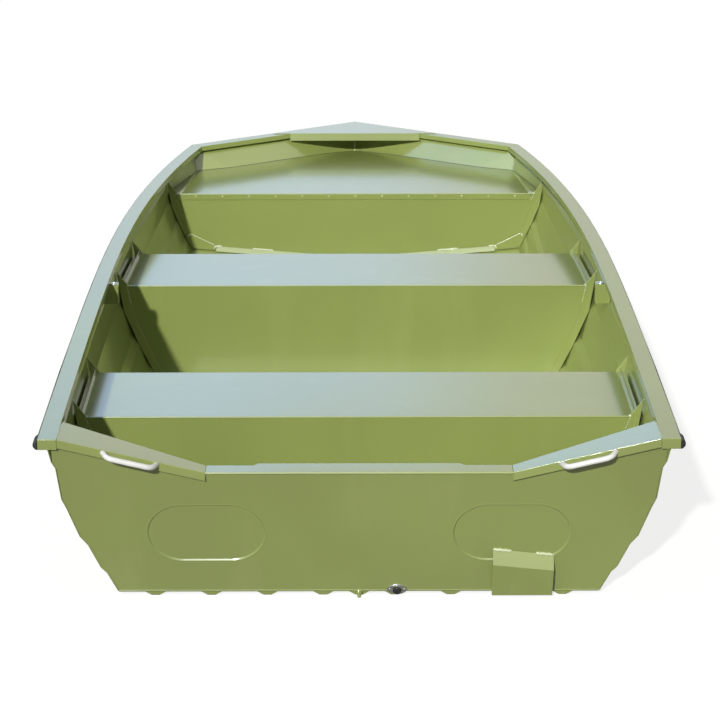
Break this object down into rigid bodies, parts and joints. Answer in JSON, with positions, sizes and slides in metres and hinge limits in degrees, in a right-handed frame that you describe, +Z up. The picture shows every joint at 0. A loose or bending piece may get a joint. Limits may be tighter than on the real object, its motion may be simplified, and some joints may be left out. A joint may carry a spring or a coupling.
{
  "type": "jon boat",
  "caption": "Open flat-bottomed aluminium jon boat with a vee bow, raked transom, box benches across the hull and flat-topped gunwale rails.",
  "frame": {"origin": "below the middle of the boat's box, on the plane that its bottom ribs stand on", "axes": "+X to starboard, +Y to the bow, +Z up"},
  "size_m": [1.64, 3.598, 0.494],
  "materials": {
    "hull_paint": "satin olive paint on aluminium sheet",
    "rub_strip": "matt black extruded rubber",
    "handle_coat": "white dipped coating",
    "bright_metal": "brushed",
    "plug_rubber": "black rubber"
  },
  "bodies": {
    "root": {"aft_bench_frames": "hull_paint", "aft_bench_front_panel": "hull_paint", "aft_bench_rear_panel": "hull_paint", "aft_bench_seat": "hull_paint", "bottom_ribs": "hull_paint", "bottom_sheet": "hull_paint", "bow_bench_frames": "hull_paint", "bow_bench_rear_panel": "hull_paint", "bow_bench_seat": "hull_paint", "bow_deck_plate": "hull_paint", "bow_eye": "bright_metal", "bow_floor_strip": "hull_paint", "bow_gusset_port": "hull_paint", "bow_gusset_starboard": "hull_paint", "bow_panel_port": "hull_paint", "bow_panel_starboard": "hull_paint", "bow_rail_port": "hull_paint", "bow_rail_starboard": "hull_paint", "corner_plate_port": "hull_paint", "corner_plate_starboard": "hull_paint", "drain_flange": "bright_metal", "drain_plug": "plug_rubber", "gunwale_port": "hull_paint", "gunwale_starboard": "hull_paint", "keel_end_bolt": "bright_metal", "middle_bench_frames": "hull_paint", "middle_bench_front_panel": "hull_paint", "middle_bench_rear_panel": "hull_paint", "middle_bench_seat": "hull_paint", "motor_pad": "hull_paint", "oarlock_socket_port": "hull_paint", "oarlock_socket_starboard": "hull_paint", "rail_end_port": "hull_paint", "rail_end_starboard": "hull_paint", "rub_strip_port": "rub_strip", "rub_strip_starboard": "rub_strip", "side_sheet_port": "hull_paint", "side_sheet_starboard": "hull_paint", "stern_handle_port": "handle_coat", "stern_handle_starboard": "handle_coat", "strip_end_port": "rub_strip", "strip_end_starboard": "rub_strip", "transducer_bracket": "hull_paint", "transom_cap": "hull_paint", "transom_core": "hull_paint", "transom_plate": "hull_paint"}
  },
  "joints": []
}
